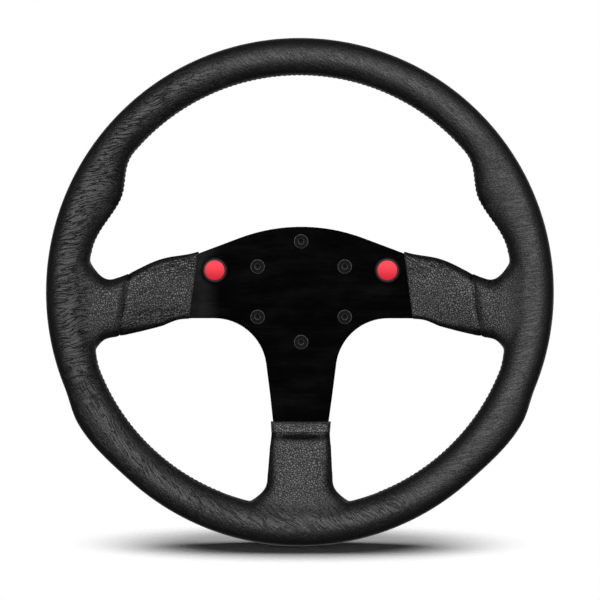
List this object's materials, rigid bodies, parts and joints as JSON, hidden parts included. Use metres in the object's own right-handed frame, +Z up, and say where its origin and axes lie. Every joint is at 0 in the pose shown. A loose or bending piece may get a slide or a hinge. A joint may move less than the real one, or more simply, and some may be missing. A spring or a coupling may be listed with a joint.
{
  "type": "car steering wheel",
  "caption": "Three-spoke dished sports steering wheel with a padded leather rim, thumb rests, a bolted flat hub and spring-return push buttons.",
  "frame": {"origin": "centre of the hub's bolt circle, on the back face of the spoke plate, which bolts to the hub adapter", "axes": "+Z up as the driver sees the wheel straight ahead, +X to the driver's right, +Y along the steering axis away from the driver, so the rim stands forward at -Y"},
  "size_m": [0.35, 0.066, 0.35],
  "materials": {
    "black_aluminium": "black anodised, satin",
    "bare_aluminium": "bare, hidden",
    "foam": "moulded foam with a dense skin",
    "leather": "black grained leather",
    "black_steel": "black oxide",
    "red_plastic": "red, semi-gloss",
    "black_plastic": "black, satin",
    "grey_plastic": "grey, satin",
    "gasket_rubber": "black rubber",
    "zinc_steel": "zinc plated",
    "contact_brass": "plain brass"
  },
  "bodies": {
    "wheel": {"spoke_plate": "black_aluminium", "rim_ring": "bare_aluminium", "spoke_rivets": "bare_aluminium", "rim_padding": "foam", "rim_leather": "leather", "left_spoke_leather": "leather", "right_spoke_leather": "leather", "hub_screws": "black_steel", "left_button_bezel": "black_plastic", "right_button_bezel": "black_plastic", "left_button_trim_ring": "grey_plastic", "right_button_trim_ring": "grey_plastic", "button_gaskets": "gasket_rubber", "button_washers": "zinc_steel", "button_nuts": "zinc_steel", "left_button_base": "black_plastic", "right_button_base": "black_plastic", "left_button_terminals": "contact_brass", "right_button_terminals": "contact_brass", "left_contact_spring": "contact_brass", "right_contact_spring": "contact_brass"},
    "left_button": {"left_button_cap": "red_plastic"},
    "right_button": {"right_button_cap": "red_plastic"}
  },
  "joints": [
    {"name": "left_button_press", "type": "slide", "parent": "wheel", "child": "left_button", "axis": [0, 1, 0], "range_m": [0, 0.0018], "stiffness_N_per_m": 1500, "springref_m": -0.0013, "deforming": ["left_contact_spring"]},
    {"name": "right_button_press", "type": "slide", "parent": "wheel", "child": "right_button", "axis": [0, 1, 0], "range_m": [0, 0.0018], "stiffness_N_per_m": 1500, "springref_m": -0.0013, "deforming": ["right_contact_spring"]}
  ]
}
